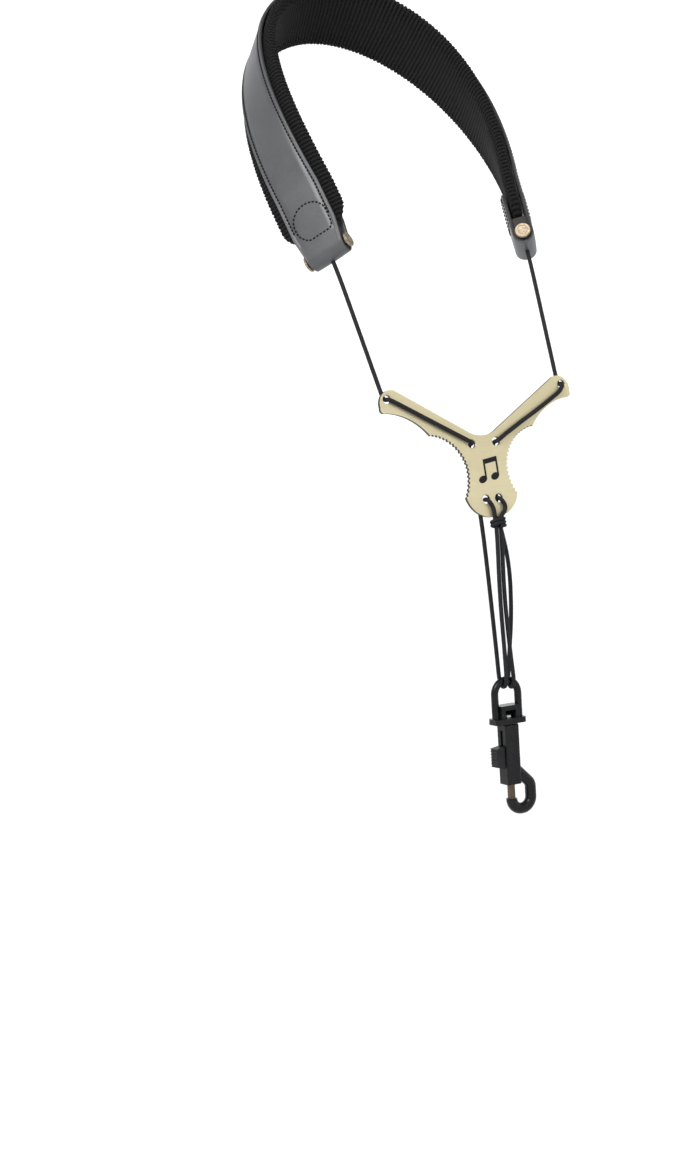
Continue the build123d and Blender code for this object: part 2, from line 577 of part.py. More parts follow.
SPRING_BOTTOM = COLLAR_TOP + SPRING_WIRE_R + SPRING_GAP
SPRING_TOP = BARREL_HEIGHT - CAP_HEIGHT - SPRING_WIRE_R - SPRING_GAP
with BuildPart() as plunger_spring:
    with BuildLine(HOOK.offset(SPRING_BOTTOM)):
        coil = Helix(pitch=(SPRING_TOP - SPRING_BOTTOM) / SPRING_TURNS,
                     height=SPRING_TOP - SPRING_BOTTOM, radius=SPRING_R)
    with BuildSketch(Plane(origin=coil @ 0, z_dir=coil % 0)):
        Circle(SPRING_WIRE_R)
    sweep(path=coil, is_frenet=True)

# ---------------------------------------------------------------- the wearer's right side
with BuildPart() as end_core_right:
    mirror(end_core_left.part, about=Plane.YZ)
with BuildPart() as cord_eye_right:
    mirror(cord_eye_left.part, about=Plane.YZ)
with BuildPart() as rivet_post_right:
    mirror(rivet_post_left.part, about=Plane.YZ)
with BuildPart() as rivet_cap_right:
    mirror(rivet_cap_left.part, about=Plane.YZ)

# ---------------------------------------------------------------- export
NODES = {
    "leather_band": leather_band, "knit_cover": knit_cover, "foam_core": foam_core,
    "end_core_left": end_core_left, "end_core_right": end_core_right,
    "cord_eye_left": cord_eye_left, "cord_eye_right": cord_eye_right,
    "rivet_post_left": rivet_post_left, "rivet_post_right": rivet_post_right,
    "rivet_cap_left": rivet_cap_left, "rivet_cap_right": rivet_cap_right,
    "upper_cord_left": upper_cord_left, "upper_cord_right": upper_cord_right,
    "yoke_plate": yoke_plate, "plate_inlay": plate_inlay,
    "plate_cord_left": plate_cord_left, "plate_cord_right": plate_cord_right,
    "plate_cord_loop": plate_cord_loop, "keeper_knot": keeper_knot,
    "drop_cord_left": drop_cord_left, "drop_cord_right": drop_cord_right,
    "swivel_ring": swivel_ring, "swivel_pin": swivel_pin, "barrel_cap": barrel_cap,
    "hook_body": hook_body, "plunger": plunger, "thumb_slide": thumb_slide,
    "plunger_spring": plunger_spring,
}
for name, piece in NODES.items():
    piece.part.label = name
    export_step(piece.part, f"parts/{name}.step")
    box = piece.part.bounding_box()
    print(f"{name}: {len(piece.part.solids())} solid(s), {piece.part.volume:.0f} mm3, "
          f"z {box.min.Z:.1f} to {box.max.Z:.1f}")
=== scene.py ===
from math import ceil, cos, pi, radians, sin, sqrt

import bpy
import numpy as np
from mathutils import Matrix, Vector


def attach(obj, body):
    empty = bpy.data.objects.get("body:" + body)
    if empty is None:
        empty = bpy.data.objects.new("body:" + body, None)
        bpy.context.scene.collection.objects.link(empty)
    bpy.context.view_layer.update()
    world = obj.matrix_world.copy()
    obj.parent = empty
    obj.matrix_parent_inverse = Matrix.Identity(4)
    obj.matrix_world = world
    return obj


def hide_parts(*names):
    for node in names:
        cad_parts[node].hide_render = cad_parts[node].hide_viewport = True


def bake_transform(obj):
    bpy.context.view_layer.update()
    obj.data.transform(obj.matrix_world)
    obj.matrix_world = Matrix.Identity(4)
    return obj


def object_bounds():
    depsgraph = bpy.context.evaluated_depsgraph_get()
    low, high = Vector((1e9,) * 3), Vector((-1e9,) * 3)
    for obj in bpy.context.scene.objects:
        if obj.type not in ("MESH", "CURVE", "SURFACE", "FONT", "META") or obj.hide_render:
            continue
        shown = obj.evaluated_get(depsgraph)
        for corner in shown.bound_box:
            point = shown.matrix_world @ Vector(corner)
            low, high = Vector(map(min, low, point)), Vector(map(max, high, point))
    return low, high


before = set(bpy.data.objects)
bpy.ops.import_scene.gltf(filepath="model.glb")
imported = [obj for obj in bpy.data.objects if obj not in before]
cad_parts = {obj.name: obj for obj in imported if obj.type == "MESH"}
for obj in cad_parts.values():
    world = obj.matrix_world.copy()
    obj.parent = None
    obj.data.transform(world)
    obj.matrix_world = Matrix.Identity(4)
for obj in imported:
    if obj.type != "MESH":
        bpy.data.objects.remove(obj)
CAD_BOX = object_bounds()
MM = 0.001

# ------------------------------------------------------------------ camera
CAMERA_TARGET = Vector((0, -0.1435, -0.2579))
CAMERA_DISTANCE = 1.4
CAMERA_SIDE, CAMERA_RISE = radians(34.0), radians(4.0)      # where it stands
CAMERA_HEADING, CAMERA_PITCH, CAMERA_ROLL = radians(30.75), radians(6.83), radians(3.46)
CAMERA_LENS, CAMERA_SENSOR = 76.81, 36.0      # the sensor lies along the frame's long side
CAMERA_CLIP = (0.05, 50)


def add_camera():
    stand = Vector((-sin(CAMERA_SIDE) * cos(CAMERA_RISE), -cos(CAMERA_SIDE) * cos(CAMERA_RISE),
                    sin(CAMERA_RISE)))
    ahead = Vector((sin(CAMERA_HEADING) * cos(CAMERA_PITCH),
                    cos(CAMERA_HEADING) * cos(CAMERA_PITCH), -sin(CAMERA_PITCH)))
    right = Vector((cos(CAMERA_HEADING), -sin(CAMERA_HEADING), 0))
    up = right.cross(ahead)
    right, up = (right * cos(CAMERA_ROLL) - up * sin(CAMERA_ROLL),
                 up * cos(CAMERA_ROLL) + right * sin(CAMERA_ROLL))
    data = bpy.data.cameras.new("camera")
    data.lens, data.sensor_width = CAMERA_LENS, CAMERA_SENSOR
    data.clip_start, data.clip_end = CAMERA_CLIP
    camera = bpy.data.objects.new("camera", data)
    turn = Matrix((right, up, -ahead)).transposed().to_4x4()
    camera.matrix_world = Matrix.Translation(CAMERA_TARGET + stand * CAMERA_DISTANCE) @ turn
    bpy.context.scene.collection.objects.link(camera)
    bpy.context.scene.camera = camera


add_camera()


# ------------------------------------------------------------------ node helpers
def new_material(name):
    material = bpy.data.materials.new(name)
    material.use_nodes = True
    tree = material.node_tree
    return material, tree, tree.nodes["Principled BSDF"]


def node(tree, kind, **values):
    """A shader node; values are its properties, or its input sockets by name."""
    made = tree.nodes.new(kind)
    for key, value in values.items():
        if hasattr(made, key) and key not in made.inputs:
            setattr(made, key, value)
        else:
            made.inputs[key.replace("_", " ")].default_value = value
    return made


def ramp(tree, source, *stops):
    """A colour ramp fed by a socket; stops are (position, grey or colour)."""
    made = tree.nodes.new("ShaderNodeValToRGB")
    tree.links.new(source, made.inputs["Fac"])
    elements = made.color_ramp.elements
    while len(elements) < len(stops):
        elements.new(0.5)
    for element, (position, colour) in zip(elements, stops):
        element.position = position
        colour = colour if isinstance(colour, tuple) else (colour,) * 3
        element.color = (*colour, 1)
    return made.outputs["Color"]


def object_coordinates(tree, scale=(1, 1, 1)):
    texture = node(tree, "ShaderNodeTexCoord")
    mapping = node(tree, "ShaderNodeMapping", Scale=scale)
    tree.links.new(texture.outputs["Object"], mapping.inputs["Vector"])
    return mapping.outputs["Vector"]


def noise(tree, vector, scale, detail=3.0, roughness=0.5):
    made = node(tree, "ShaderNodeTexNoise", Scale=scale, Detail=detail, Roughness=roughness)
    tree.links.new(vector, made.inputs["Vector"])
    return made.outputs["Fac"]


def bump(tree, height, strength, distance, below=None):
    made = node(tree, "ShaderNodeBump", Strength=strength, Distance=distance)
    tree.links.new(height, made.inputs["Height"])
    if below is not None:
        tree.links.new(below, made.inputs["Normal"])
    return made.outputs["Normal"]


def mix_colour(tree, factor, first, second):
    made = tree.nodes.new("ShaderNodeMix")
    made.data_type = "RGBA"
    tree.links.new(factor, made.inputs["Factor"])
    for name, value in (("A", first), ("B", second)):
        socket = [s for s in made.inputs if s.name == name and s.type == "RGBA"][0]
        if isinstance(value, tuple):
            socket.default_value = (*value, 1)
        else:
            tree.links.new(value, socket)
    return [s for s in made.outputs if s.type == "RGBA"][0]


# ------------------------------------------------------------------ materials
def leather_material():
    """Smooth grey-black leather: fine pebble, soft creases, a few paler worn patches."""
    material, tree, shader = new_material("leather")
    at = object_coordinates(tree)
    pebble = node(tree, "ShaderNodeTexVoronoi", Scale=1500.0, feature="SMOOTH_F1")
    tree.links.new(at, pebble.inputs["Vector"])
    mottle = noise(tree, at, 60.0, 5.0, 0.6)
    cloud = ramp(tree, mottle, (0.3, (0.052, 0.053, 0.056)), (0.7, (0.070, 0.071, 0.075)))
    grain = noise(tree, at, 900.0, 3.0, 0.6)
    colour = mix_colour(tree, ramp(tree, grain, (0.35, 0.0), (0.75, 0.35)), cloud,
                        (0.095, 0.096, 0.100))
    tree.links.new(colour, shader.inputs["Base Color"])
    rough = ramp(tree, mottle, (0.3, 0.36), (0.7, 0.45))
    tree.links.new(rough, shader.inputs["Roughness"])
    fine = bump(tree, pebble.outputs["Distance"], 0.25, 0.00012)
    tree.links.new(bump(tree, mottle, 0.12, 0.0006, fine), shader.inputs["Normal"])
    shader.inputs["Specular IOR Level"].default_value = 0.6
    return material


def leather_edge_material():
    """Cut leather edge: darker, matt and fibrous."""
    material, tree, shader = new_material("leather_edge")
    at = object_coordinates(tree)
    fibre = noise(tree, at, 1400.0, 4.0, 0.7)
    tree.links.new(ramp(tree, fibre, (0.3, (0.020, 0.019, 0.018)), (0.7, (0.060, 0.057, 0.055))),
                   shader.inputs["Base Color"])
    tree.links.new(bump(tree, fibre, 0.5, 0.0003), shader.inputs["Normal"])
    shader.inputs["Roughness"].default_value = 0.75
    shader.inputs["Specular IOR Level"].default_value = 0.3
    return material


RIB_PITCH = 0.0024                    # of the lining's ribs, along the band


def knit_material():
    """Black ribbed knit: loops along the mesh's own metre-scaled UVs, with fuzz; painted shade
    darkens the gaps between ribs and between rows.
    """
    material, tree, shader = new_material("knit")
    uv = node(tree, "ShaderNodeUVMap", uv_map="metres")
    loops = node(tree, "ShaderNodeTexWave", Scale=2 * pi / (20 * RIB_PITCH), Distortion=0.6,
                 Detail=1.0, bands_direction="X", Phase_Offset=pi)
    tree.links.new(uv.outputs["UV"], loops.inputs["Vector"])
    rows = node(tree, "ShaderNodeTexWave", Scale=260.0, Distortion=2.0, Detail=1.0,
                bands_direction="Y")
    tree.links.new(uv.outputs["UV"], rows.inputs["Vector"])
    fuzz = noise(tree, object_coordinates(tree), 2600.0, 3.0, 0.7)
    # painted shade: the gaps between the ribs are coloured near-black
    ribs_with_painted_gap_shade = mix_colour(tree, ramp(tree, loops.outputs["Fac"], (0.25, 0.0), (0.85, 1.0)),
                       (0.0015, 0.0015, 0.0016), (0.017, 0.0165, 0.017))
    # painted shade: the gaps between the rows are darkened as well
    shade = mix_colour(tree, ramp(tree, rows.outputs["Fac"], (0.1, 0.6), (0.7, 0.0)), ribs_with_painted_gap_shade,
                       (0.003, 0.003, 0.003))
    colour = mix_colour(tree, ramp(tree, fuzz, (0.45, 0.0), (0.8, 0.6)), shade,
                        (0.030, 0.029, 0.029))
    tree.links.new(colour, shader.inputs["Base Color"])
    first = bump(tree, loops.outputs["Fac"], 0.5, 0.00035)
    second = bump(tree, rows.outputs["Fac"], 0.45, 0.0003, first)
    tree.links.new(bump(tree, fuzz, 0.4, 0.0002, second), shader.inputs["Normal"])
    shader.inputs["Roughness"].default_value = 0.92
    shader.inputs["Specular IOR Level"].default_value = 0.12
    shader.inputs["Sheen Weight"].default_value = 0.03
    shader.inputs["Sheen Roughness"].default_value = 0.4
    return material


def thread_material():
    material, tree, shader = new_material("thread")
    at = object_coordinates(tree)
    twist = noise(tree, at, 3200.0, 2.0, 0.5)
    tree.links.new(ramp(tree, twist, (0.3, 0.002), (0.7, 0.010)), shader.inputs["Base Color"])
    tree.links.new(bump(tree, twist, 0.5, 0.0001), shader.inputs["Normal"])
    shader.inputs["Roughness"].default_value = 0.7
    shader.inputs["Specular IOR Level"].default_value = 0.2
    return material


def cord_material():
    """Black braided cord; the braid is in the mesh, the fibres are here."""
    material, tree, shader = new_material("cord")
    at = object_coordinates(tree)
    fibre = noise(tree, at, 3800.0, 3.0, 0.65)
    tone = noise(tree, at, 220.0, 2.0, 0.5)
    dark = ramp(tree, tone, (0.3, (0.006, 0.006, 0.007)), (0.7, (0.011, 0.011, 0.0125)))
    colour = mix_colour(tree, ramp(tree, fibre, (0.4, 0.0), (0.8, 0.5)), dark,
                        (0.030, 0.0295, 0.032))
    tree.links.new(colour, shader.inputs["Base Color"])
    tree.links.new(bump(tree, fibre, 0.5, 0.00012), shader.inputs["Normal"])
    shader.inputs["Roughness"].default_value = 0.6
    shader.inputs["Specular IOR Level"].default_value = 0.18
    return material


PLATE_LEAN = radians(10.5)


def plate_material():
    """Champagne anodised faces with a fine brushed grain; the cut edges are black."""
    material, tree, shader = new_material("plate")
    texture = node(tree, "ShaderNodeTexCoord")
    facing = node(tree, "ShaderNodeVectorMath", operation="DOT_PRODUCT")
    tree.links.new(texture.outputs["Normal"], facing.inputs[0])
    facing.inputs[1].default_value = (0, -cos(PLATE_LEAN), sin(PLATE_LEAN))
    flat = node(tree, "ShaderNodeMath", operation="ABSOLUTE")
    tree.links.new(facing.outputs["Value"], flat.inputs[0])
    face = ramp(tree, flat.outputs[0], (0.55, 0.0), (0.66, 1.0))
    brushed = noise(tree, object_coordinates(tree, (90, 900, 2400)), 1.0, 3.0, 0.6)
    cloud = noise(tree, object_coordinates(tree), 45.0, 3.0, 0.55)
    gold = mix_colour(tree, ramp(tree, cloud, (0.35, 0.0), (0.7, 1.0)),
                      (0.60, 0.53, 0.33), (0.66, 0.59, 0.38))
    lined = mix_colour(tree, ramp(tree, brushed, (0.4, 0.0), (0.8, 0.35)), gold,
                       (0.52, 0.455, 0.27))
    colour = mix_colour(tree, face, (0.012, 0.011, 0.010), lined)
    tree.links.new(colour, shader.inputs["Base Color"])
    tree.links.new(ramp(tree, face, (0.0, 0.0), (1.0, 0.55)), shader.inputs["Metallic"])
    tree.links.new(ramp(tree, brushed, (0.3, 0.36), (0.7, 0.46)), shader.inputs["Roughness"])
    tree.links.new(bump(tree, brushed, 0.12, 0.0001), shader.inputs["Normal"])
    return material


def metal_material(name, low, high, roughness, scale=700.0, relief=0.08):
    """Polished or plated metal with faint hairlines and handling marks."""
    material, tree, shader = new_material(name)
    at = object_coordinates(tree)
    marks = noise(tree, at, scale, 4.0, 0.6)
    tree.links.new(ramp(tree, marks, (0.3, low), (0.7, high)), shader.inputs["Base Color"])
    tree.links.new(ramp(tree, marks, (0.3, roughness * 0.8), (0.7, roughness * 1.25)),
                   shader.inputs["Roughness"])
    tree.links.new(bump(tree, marks, relief, 0.0003), shader.inputs["Normal"])
    shader.inputs["Metallic"].default_value = 1.0
    return material


def plastic_material(name, low, high, roughness):
    """Moulded black plastic: faint spark texture and flow marks."""
    material, tree, shader = new_material(name)
    at = object_coordinates(tree)
    spark = noise(tree, at, 1800.0, 3.0, 0.6)
    flow = noise(tree, at, 130.0, 3.0, 0.5)
    tree.links.new(ramp(tree, flow, (0.3, low), (0.7, high)), shader.inputs["Base Color"])
    tree.links.new(ramp(tree, flow, (0.3, roughness * 0.9), (0.7, roughness * 1.15)),
                   shader.inputs["Roughness"])
    tree.links.new(bump(tree, spark, 0.08, 0.0001), shader.inputs["Normal"])
    shader.inputs["Specular IOR Level"].default_value = 0.2
    return material


LEATHER, LEATHER_EDGE = leather_material(), leather_edge_material()
KNIT, THREAD, CORD, PLATE = knit_material(), thread_material(), cord_material(), plate_material()
BRASS = metal_material("brass", (0.17, 0.125, 0.08), (0.47, 0.385, 0.285), 0.42, 760.0, 0.8)
STEEL = metal_material("steel", (0.52, 0.52, 0.52), (0.66, 0.66, 0.65), 0.3)
BRONZE = metal_material("plunger_plating", (0.085, 0.062, 0.048), (0.14, 0.105, 0.082), 0.38)
PLASTIC = plastic_material("plastic", (0.004, 0.004, 0.0045), (0.008, 0.008, 0.009), 0.22)
THUMB = plastic_material("thumb_plastic", (0.008, 0.008, 0.009), (0.013, 0.013, 0.015), 0.38)
INLAY = plastic_material("inlay_fill", (0.004, 0.004, 0.004), (0.008, 0.008, 0.008), 0.5)


# ------------------------------------------------------------------ mesh helpers
def add_mesh(name, points, faces, material, smooth=True, uvs=None):
    mesh = bpy.data.meshes.new(name)
    mesh.from_pydata([tuple(p) for p in points], [], faces)
    mesh.update()
    if smooth:
        mesh.shade_smooth()
    mesh.materials.append(material)
    if uvs is not None:
        layer = mesh.uv_layers.new(name="metres")
        flat = np.array([uvs[loop.vertex_index] for loop in mesh.loops], dtype=np.float32)
        layer.data.foreach_set("uv", flat.ravel())
    made = bpy.data.objects.new(name, mesh)
    bpy.context.scene.collection.objects.link(made)
    return made


def skin(rings, closed_ends=True, first=0):
    """Faces between rings of equal size, as index tuples; rings is (count, size)."""
    count, size = rings
    faces = []
    for i in range(count - 1):
        a, b = first + i * size, first + (i + 1) * size
        for j in range(size):
            k = (j + 1) % size
            faces.append((a + j, a + k, b + k, b + j))
    if closed_ends:
        faces.append(tuple(first + j for j in reversed(range(size))))
        faces.append(tuple(first + (count - 1) * size + j for j in range(size)))
    return faces


def unit(v):
    return v / np.linalg.norm(v, axis=-1, keepdims=True)


# ------------------------------------------------------------------ cords
CORD_D = 0.0025
BRAID_LOBES, BRAID_LAY, BRAID_DEPTH = 8, 0.0105, 0.028
BRAID_DIVE, BRAID_LEVEL = 0.45, 0.45  # a strand's dip under another, and the mean height
AROUND, CORD_STEP = 32, 0.00032
ROUTE_STEPS = 40                      # points of a route's smooth line for each of its own
SIDE_START = (0.3, 0.5, 0.81)         # any direction that no route starts in
PATH_THINNING = 4                     # the returned path keeps one in so many points


def spline_line(points):
    """Points along the route's smooth NURBS line."""
    curve = bpy.data.curves.new("route", "CURVE")
    curve.dimensions = "3D"
    curve.resolution_u = ROUTE_STEPS
    spline = curve.splines.new("NURBS")
    spline.points.add(len(points) - 1)
    for point, at in zip(spline.points, points):
        point.co = (*at, 1)
    spline.order_u = 3
    spline.use_endpoint_u = True
    carrier = bpy.data.objects.new("route", curve)
    bpy.context.scene.collection.objects.link(carrier)
    mesh = bpy.data.meshes.new_from_object(carrier)
    line = np.array([v.co[:] for v in mesh.vertices])
    bpy.data.objects.remove(carrier)
    bpy.data.meshes.remove(mesh)
    bpy.data.curves.remove(curve)
    return line


def even(line, step):
    """The line resampled at an even step, with its length."""
    gaps = np.linalg.norm(np.diff(line, axis=0), axis=1)
    line = line[np.concatenate([[True], gaps > 1e-9])]
    run = np.concatenate([[0], np.cumsum(gaps[gaps > 1e-9])])
    count = max(2, int(ceil(run[-1] / step)) + 1)
    at = np.linspace(0, run[-1], count)
    return np.stack([np.interp(at, run, line[:, k]) for k in range(3)], 1), run[-1]


def carried_frames(line):
    """Tangents and two normals carried along the line without twist."""
    tangents = unit(np.gradient(line, axis=0))
    side = np.cross(tangents[0], SIDE_START)
    sides = []
    for t in tangents:
        side = unit(side - t * np.dot(side, t))
        sides.append(side)
    sides = np.array(sides)
    return tangents, sides, np.cross(tangents, sides)


def braided_rings(line, radius, start=0.0):
    """Rings of a round braid: two sets of strands crossing over and under."""
    _, across, upward = carried_frames(line)
    run = start + np.concatenate([[0], np.cumsum(np.linalg.norm(np.diff(line, axis=0), axis=1))])
    theta = np.linspace(0, 2 * pi, AROUND, endpoint=False)
    s, t = np.meshgrid(run, theta, indexing="ij")
    turn = 2 * pi * s / BRAID_LAY
    one = 0.5 + 0.5 * np.cos(BRAID_LOBES * (t + turn))
    two = 0.5 + 0.5 * np.cos(BRAID_LOBES * (t - turn))
    over = 0.5 + 0.5 * np.sin(BRAID_LOBES * t) * np.sin(BRAID_LOBES * turn)
    height = np.maximum(one * (1 - BRAID_DIVE + BRAID_DIVE * over),
                        two * (1 - BRAID_DIVE * over))
    r = radius * (1 - BRAID_DEPTH + BRAID_DEPTH * 2 * (height - BRAID_LEVEL))
    return (line[:, None, :] + r[..., None] * (np.cos(t)[..., None] * across[:, None, :]
                                               + np.sin(t)[..., None] * upward[:, None, :]))


def braided_tube(name, line, radius=CORD_D / 2):
    line, length = even(line, CORD_STEP)
    rings = braided_rings(line, radius)
    made = add_mesh(name, rings.reshape(-1, 3), skin((len(line), AROUND)), CORD)
    return made, line[::PATH_THINNING], length


def mirrored(points):
    return [(-x, y, z) for x, y, z in points]


def metres(points):
    return [(x * MM, y * MM, z * MM) for x, y, z in points]


# the plate's own origin, between its two inner holes, in millimetres, and its directions
PLATE_AT = np.array((0.0, -147.75, -253.0))
PLATE_UP = np.array((0.0, sin(PLATE_LEAN), cos(PLATE_LEAN)))
PLATE_FRONT = np.array((0.0, -cos(PLATE_LEAN), sin(PLATE_LEAN)))


CORD_OUT = 2.55                       # the cord's middle, off the plate's


def on_plate(x, v, out=CORD_OUT):
    """A point over the plate, in millimetres: across, up, and out of its middle."""
    return tuple(PLATE_AT + (x, 0, 0) + PLATE_UP * v + PLATE_FRONT * out)


# routes in millimetres, as on the wearer's left; the taut ones are mirrored for the right
FOLD_START = [(66.26, -105.72, -145.67), (65.55, -109.18, -151.60), (62.60, -123.10, -184.70),
              (59.58, -137.28, -218.60)]
ARM_FRONT_TAUT = [on_plate(59.0, 28.9), on_plate(53.0, 25.6), on_plate(30.0, 12.4),
                  on_plate(13.0, 2.8)]
ARM_FRONT_SLACK = [on_plate(59.0, 29.4), on_plate(56.6, 25.0), on_plate(51.0, 22.0, 2.8),
                   on_plate(39.5, 15.9, 2.7), on_plate(26.8, 9.8), on_plate(14.0, 3.3)]
INNER_TURN = [on_plate(8.2, 0.0), on_plate(8.2, 0.0, -CORD_OUT)]
BACK_WIDE = [on_plate(8.1, -7.0, -2.7), on_plate(7.7, -38.0, -CORD_OUT)]
BACK_NARROW = [on_plate(7.8, -7.0, -2.7), on_plate(6.9, -20.0, -2.8), on_plate(3.4, -39.5, -2.6)]
LOOP_ROUTE = [on_plate(-1.55, -45.4), on_plate(-1.70, -42.6), on_plate(-1.3, -37.4),
              on_plate(-4.3, -31.9), on_plate(-4.3, -31.9, -CORD_OUT),
              on_plate(4.3, -31.9, -CORD_OUT), on_plate(4.3, -31.9), on_plate(7.4, -38.0),
              on_plate(2.0, -42.8), on_plate(1.55, -45.4)]
DROP_TAUT = [(7.70, -152.17, -290.83), (7.30, -153.81, -299.68), (2.40, -153.80, -372.00),
             (1.60, -153.85, -390.40), (1.60, -161.15, -390.40), (1.90, -161.10, -372.00),
             (3.00, -160.70, -338.00), (1.70, -159.64, -303.17), (1.55, -158.53, -297.18)]
DROP_BOWED = [BACK_NARROW[-1], (4.60, -153.60, -299.00), (9.20, -154.20, -322.00),
              (9.00, -154.00, -350.00), (6.20, -153.90, -372.00), (3.80, -153.85, -391.10),
              (3.80, -161.15, -391.10), (1.90, -161.10, -372.00), (0.00, -160.70, -338.00),
              (1.30, -159.64, -306.00), (1.55, -158.53, -297.18)]


def add_cord(name, route, nodes, body, second=None):
    """One run of the neck strap's cord as a braided tube of its real size."""
    line = spline_line(route)
    tube, path, length = braided_tube(name, line)
    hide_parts(*nodes)
    if second:
        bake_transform(tube)
    else:
        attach(tube, body)


# the left strands follow the bowed, slack routes and the right ones the taut routes, mirrored
for side, flip, arm, back, drop in (
        ("left", list, ARM_FRONT_SLACK, BACK_NARROW, DROP_BOWED),
        ("right", mirrored, ARM_FRONT_TAUT, BACK_WIDE, DROP_TAUT)):
    neck = metres(flip(FOLD_START + [on_plate(59.0, 28.9, -CORD_OUT)] + arm + INNER_TURN + back))
    add_cord(f"neck_cord_{side}", neck, (f"upper_cord_{side}", f"plate_cord_{side}"),
             "neck_pad", "yoke")
    add_cord(f"lower_cord_{side}", metres(flip(drop)), (f"drop_cord_{side}",),
             "yoke", "hang_cord")


KEEPER_HALF = (0.0041, 0.00245)       # half width and half depth of a turn
KEEPER_TOP, KEEPER_R = -0.0437, 0.0010
KEEPER_TURNS, KEEPER_RISE, KEEPER_STEPS = 2.35, 0.0019, 220
KEEPER_START, KEEPER_TILT = -0.6, 0.0004


def add_keeper():
    """Two and a bit turns of thinner cord whipped round the strands under the plate."""
    line = []
    for k in range(KEEPER_STEPS + 1):
        q = 2 * pi * KEEPER_TURNS * k / KEEPER_STEPS + KEEPER_START
        x, out = KEEPER_HALF[0] * cos(q), KEEPER_HALF[1] * sin(q)
        v = KEEPER_TOP - KEEPER_RISE * KEEPER_TURNS * k / KEEPER_STEPS + KEEPER_TILT * sin(q)
        line.append(np.array(on_plate(0, 0)) * MM + np.array((x, 0, 0))
                    + PLATE_UP * v + PLATE_FRONT * out)
    tube, _, _ = braided_tube("keeper_whipping", np.array(line), KEEPER_R)
    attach(tube, "yoke")
    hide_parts("keeper_knot")
    return tube


keeper = add_keeper()
add_cord("front_loop_cord", metres(LOOP_ROUTE), ("plate_cord_loop",), "yoke")

# ------------------------------------------------------------------ neck band geometry
NECK_R, CONVERGE = 0.0687, radians(11.6)
BAND_DROP, DROP_SOFTNESS, PLAN_RUN = 0.1466, 1.41, 0.0204
LEAN_NAPE, LEAN_TAB, LEAN_POWER = radians(34.0), radians(41.2), 1.8
TAB_LENGTH = 0.044
ROUND_PLAN = NECK_R * (pi / 2 + CONVERGE)
PLAN_TOTAL = ROUND_PLAN + PLAN_RUN
EASE_SPAN = sqrt(1 + DROP_SOFTNESS**2) - DROP_SOFTNESS
FINE_STEPS = 400                      # samples of a half band before it is evened out

KNIT_HALF, KNIT_THICK = 0.021, 0.008
LEATHER_HALF, LEATHER_THICK, TAB_HALF = 0.0143, 0.002, 0.0113
LEATHER_MID = 0.0093                  # middle of the outer strip, off the inner face
FOLD_MID, FOLD_MID_R = 0.0040, 0.0053
FOLD_R = FOLD_MID_R + LEATHER_THICK / 2
TONGUE_LENGTH, TAPER_HEIGHT = 0.037, 0.020


def band_frame(plan):
    """Origin on the band's inner face, its width direction, and its outward normal."""
    side = -1.0 if plan < 0 else 1.0
    turn, share = abs(plan) / NECK_R, abs(plan) / PLAN_TOTAL
    root = sqrt(share**2 + DROP_SOFTNESS**2)
    fall = -BAND_DROP * (root - DROP_SOFTNESS) / EASE_SPAN
    slope = -BAND_DROP / PLAN_TOTAL * share / root / EASE_SPAN
    lean = LEAN_NAPE + (LEAN_TAB - LEAN_NAPE) * (abs(plan) / ROUND_PLAN) ** LEAN_POWER
    along = unit(np.array((cos(turn), -side * sin(turn), side * slope)))
    out = np.array((side * sin(turn) * cos(lean), cos(turn) * cos(lean), sin(lean)))
    out = unit(out - along * np.dot(out, along))
    origin = np.array((side * NECK_R * sin(turn), NECK_R * (cos(turn) - 1), fall))
    return origin, np.cross(out, along), out, along


TAB_TOP, TAB_ACROSS, TAB_OUT, TAB_DOWN = band_frame(ROUND_PLAN)


def flip_frame(found):
    """The matching frame on the wearer's right."""
    origin, across, out, along = (v * np.array((-1, 1, 1)) for v in found)
    return origin, across, out, -along


def tab_frame(height, out_by=0.0, turn=0.0):
    """A frame on the left tab, a height above its bottom; turn leans it round the fold."""
    origin = TAB_TOP + TAB_DOWN * (TAB_LENGTH - height) + TAB_OUT * out_by
    out = TAB_OUT * cos(turn) + TAB_DOWN * sin(turn)
    along = TAB_DOWN * cos(turn) - TAB_OUT * sin(turn)
    return origin, TAB_ACROSS, out, along


def half_band(out_by, step):
    """Frames of the left half, from the nape to the top of the tab, evenly spaced."""
    fine = [band_frame(ROUND_PLAN * i / FINE_STEPS) for i in range(FINE_STEPS + 1)]
    points = np.array([f[0] + f[2] * out_by for f in fine])
    run = np.concatenate([[0], np.cumsum(np.linalg.norm(np.diff(points, axis=0), axis=1))])
    count = int(ceil(run[-1] / step))
    plans = np.interp(np.linspace(0, run[-1], count + 1), run,
                      np.linspace(0, ROUND_PLAN, FINE_STEPS + 1))
    frames = []
    for plan in plans:
        origin, across, out, along = band_frame(plan)
        frames.append((origin + out * out_by, across, out, along))
    return frames


def both_halves(left):
    """Frames from the end of the right half, over the nape, to the end of the left half."""
    return [flip_frame(f) for f in reversed(left[1:])] + left


def mirror_list(values):
    return list(reversed(values[1:])) + list(values)


# ------------------------------------------------------------------ leather band
BAND_STEP = 0.0011
CREASE, STITCH_IN = 0.0011, 0.0023
UNDER_COUNT = 9                       # points on the inner side of the strip's outline
FOLD_TURNS, TONGUE_POWER = 18, 2.2
D_FOOT, D_SIDE_TOP, D_ARCH, D_LEFT, D_RIGHT = 0.0151, 0.0260, 0.0096, 0.0102, 0.0113
D_CORNERS = ((D_FOOT, -0.0085), (D_FOOT, -0.0020), (D_FOOT, 0.0040), (0.0156, 0.0056),
             (0.0172, 0.0072), (0.0192, 0.0088), (0.0212, 0.0099), (0.0235, D_LEFT))


